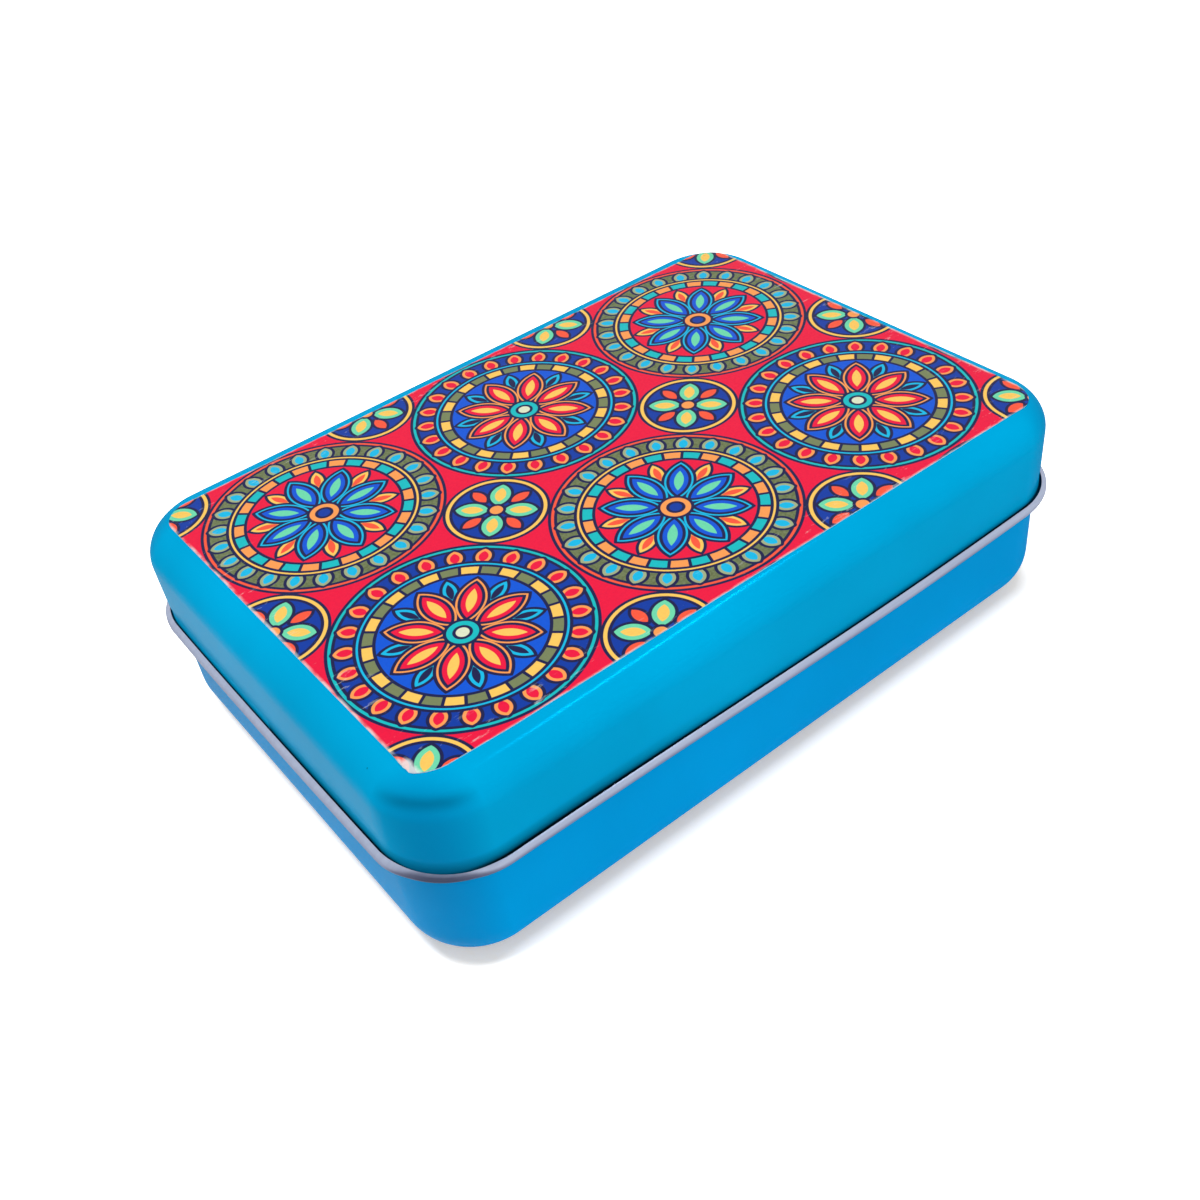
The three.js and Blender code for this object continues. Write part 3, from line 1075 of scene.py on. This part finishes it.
pan_shell = drawn_shell("pan_shell", shell_tree, pan_section(), pan_paint, bare_metal, {
    "Set In": SET_IN,
})
for side in (-1, 1):
    combine(pan_shell, pan_window(side, bare_metal), "DIFFERENCE")
combine(pan_shell, hinge_tongues(pan_paint, bare_metal), "UNION")
smooth(pan_shell, SHELL_SMOOTH_ANGLE)

sheet = patterned_sheet(patterned_vinyl(), white_edge())

for piece, body, node, slot in (
    (pan_shell, "base", "base_pan", "base_paint"),
    (lid_shell, "lid", "lid_cover", "lid_paint"),
    (sheet, "lid", "lid_label", "label_print"),
):
    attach(piece, body)
    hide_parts(node)


# Stage: floor, world, lamps and camera

WORLD_LIGHT = 0.58
FLOOR_HALF = 1.6
FLOOR_DROP = 0.05 * MM
FLOOR_LIFT = (0.33, 0.255, 0.14, 1.0)  # a little warm, against the blue that the paint throws on it
FLOOR_SHEEN = (0.05, 0.05, 0.05, 1.0)
LIFT_RANGE = (5 * MM, 9 * MM)  # from the flat that the tin stands on
WHITE = (1.0, 1.0, 1.0, 1.0)
BLACK = (0.0, 0.0, 0.0, 1.0)


def floor_material():
    """White floor that keeps its shadows; what the camera and reflections see is lifted to white."""
    material, net = surface("white_floor")
    place = net.node("ShaderNodeTexCoord")["Object"]
    tone = net.mix(net.noise(place, 3, 2)["Fac"], ink("f4f4f4"), ink("fafafa"))
    rays = net.node("ShaderNodeLightPath")
    reflected = net.math("MAXIMUM", rays["Is Glossy Ray"], rays["Is Transmission Ray"])
    spot = net.node("ShaderNodeSeparateXYZ", None, {0: place})
    past_x = net.math("MAXIMUM", abs(spot["X"]) - (HALF_LENGTH + PAN_OUT - PAN_EDGE_RADIUS), 0.0)
    past_y = net.math("MAXIMUM", abs(spot["Y"]) - (HALF_WIDTH + PAN_OUT - PAN_EDGE_RADIUS), 0.0)
    distance = net.math("SQRT", past_x * past_x + past_y * past_y)
    near = net.mix(net.ramp(distance, *LIFT_RANGE), FLOOR_LIFT, WHITE)
    lift = net.mix(reflected, BLACK, FLOOR_SHEEN)
    lift = net.mix(rays["Is Camera Ray"], lift, near)
    shade(net, {
        "Base Color": tone,
        "Roughness": 0.9,
        "Specular IOR Level": 0.0,
        "Emission Color": lift,
        "Emission Strength": 1.0,
    })
    return material


def make_floor():
    mesh = bpy.data.meshes.new("floor")
    signs = ((-1, -1), (1, -1), (1, 1), (-1, 1))
    corners = [(x * FLOOR_HALF, y * FLOOR_HALF, -FLOOR_DROP) for x, y in signs]
    mesh.from_pydata(corners, [], [(0, 1, 2, 3)])
    mesh.materials.append(floor_material())
    new_object("floor", mesh)


def make_world():
    """Even pale light, a little dimmer towards the horizon; seen or mirrored, it is white."""
    world = bpy.data.worlds.new("studio")
    world.use_nodes = True
    net = Net(world.node_tree)
    up = net.node("ShaderNodeSeparateXYZ", None, {0: net.node("ShaderNodeTexCoord")["Generated"]})["Z"]
    light = net.mix(net.ramp(up, 0.0, 0.9), ink("e4e6e8"), ink("ffffff"))
    rays = net.node("ShaderNodeLightPath")
    seen = net.math("MAXIMUM", rays["Is Camera Ray"], rays["Is Glossy Ray"])
    seen = net.math("MAXIMUM", seen, rays["Is Transmission Ray"])
    lighting = net.node("ShaderNodeBackground", None, {"Color": light, "Strength": WORLD_LIGHT})
    white = net.node("ShaderNodeBackground", None, {"Color": WHITE, "Strength": 1.0})
    both = net.node("ShaderNodeMixShader", None, {0: seen, 1: lighting, 2: white})
    net.node("ShaderNodeOutputWorld", None, {"Surface": both})
    bpy.context.scene.world = world


def softbox(name, place, target, along, size, power):
    """A rectangular lamp that faces the target, its long side turned along a direction."""
    away = (Vector(place) - Vector(target)).normalized()
    side = Vector(along)
    side = (side - away * side.dot(away)).normalized()
    turn = Matrix((side, away.cross(side), away)).transposed().to_4x4()
    lamp = bpy.data.lights.new(name, "AREA")
    lamp.shape = "RECTANGLE"
    lamp.size, lamp.size_y = size
    lamp.energy = power
    holder = bpy.data.objects.new(name, lamp)
    holder.matrix_world = Matrix.Translation(place) @ turn
    bpy.context.scene.collection.objects.link(holder)
    return holder


CAMERA_AZIMUTH = -33.16
CAMERA_ELEVATION = 40.75
CAMERA_ROLL = -8.11
CAMERA_DISTANCE = 201.43 * MM
CAMERA_TARGET = Vector((-3.01, -0.56, 8.39)) * MM
CAMERA_LENS = 40.89  # for a square picture
CAMERA_SENSOR = 36


def make_camera():
    data = bpy.data.cameras.new("camera")
    data.lens = CAMERA_LENS
    data.sensor_width = CAMERA_SENSOR
    data.clip_start = 0.01
    turn = (
        Matrix.Rotation(math.radians(CAMERA_AZIMUTH), 4, "Z")
        @ Matrix.Rotation(math.radians(90 - CAMERA_ELEVATION), 4, "X")
        @ Matrix.Rotation(math.radians(CAMERA_ROLL), 4, "Z")
    )
    camera = bpy.data.objects.new("camera", data)
    back = Matrix.Translation((0, 0, CAMERA_DISTANCE))
    camera.matrix_world = Matrix.Translation(CAMERA_TARGET) @ turn @ back
    bpy.context.scene.collection.objects.link(camera)
    bpy.context.scene.camera = camera


make_floor()
make_world()
overhead = softbox(
    "overhead",
    place=(-0.15, -0.04, 0.6),
    target=(0, 0, 0.02),
    along=(1, 0, 0),
    size=(0.1, 0.1),
    power=1.6,
)
overhead.visible_glossy = False
fill = softbox(
    "front_fill",
    place=(0.3, -0.7, 0.3),
    target=(0, 0, 0.02),
    along=(1, 0, 0),
    size=(0.5, 0.3),
    power=1.4,
)
fill.visible_glossy = False
strip = softbox(
    "gloss_strip",
    place=(0.205, 0.0, 0.5),
    target=(-0.02, -0.034, 0.03),
    along=(0.664, 0.748, 0),
    size=(0.27, 0.02),
    power=0.6,
)
strip.visible_diffuse = False
make_camera()
bpy.context.scene.view_settings.view_transform = "Standard"
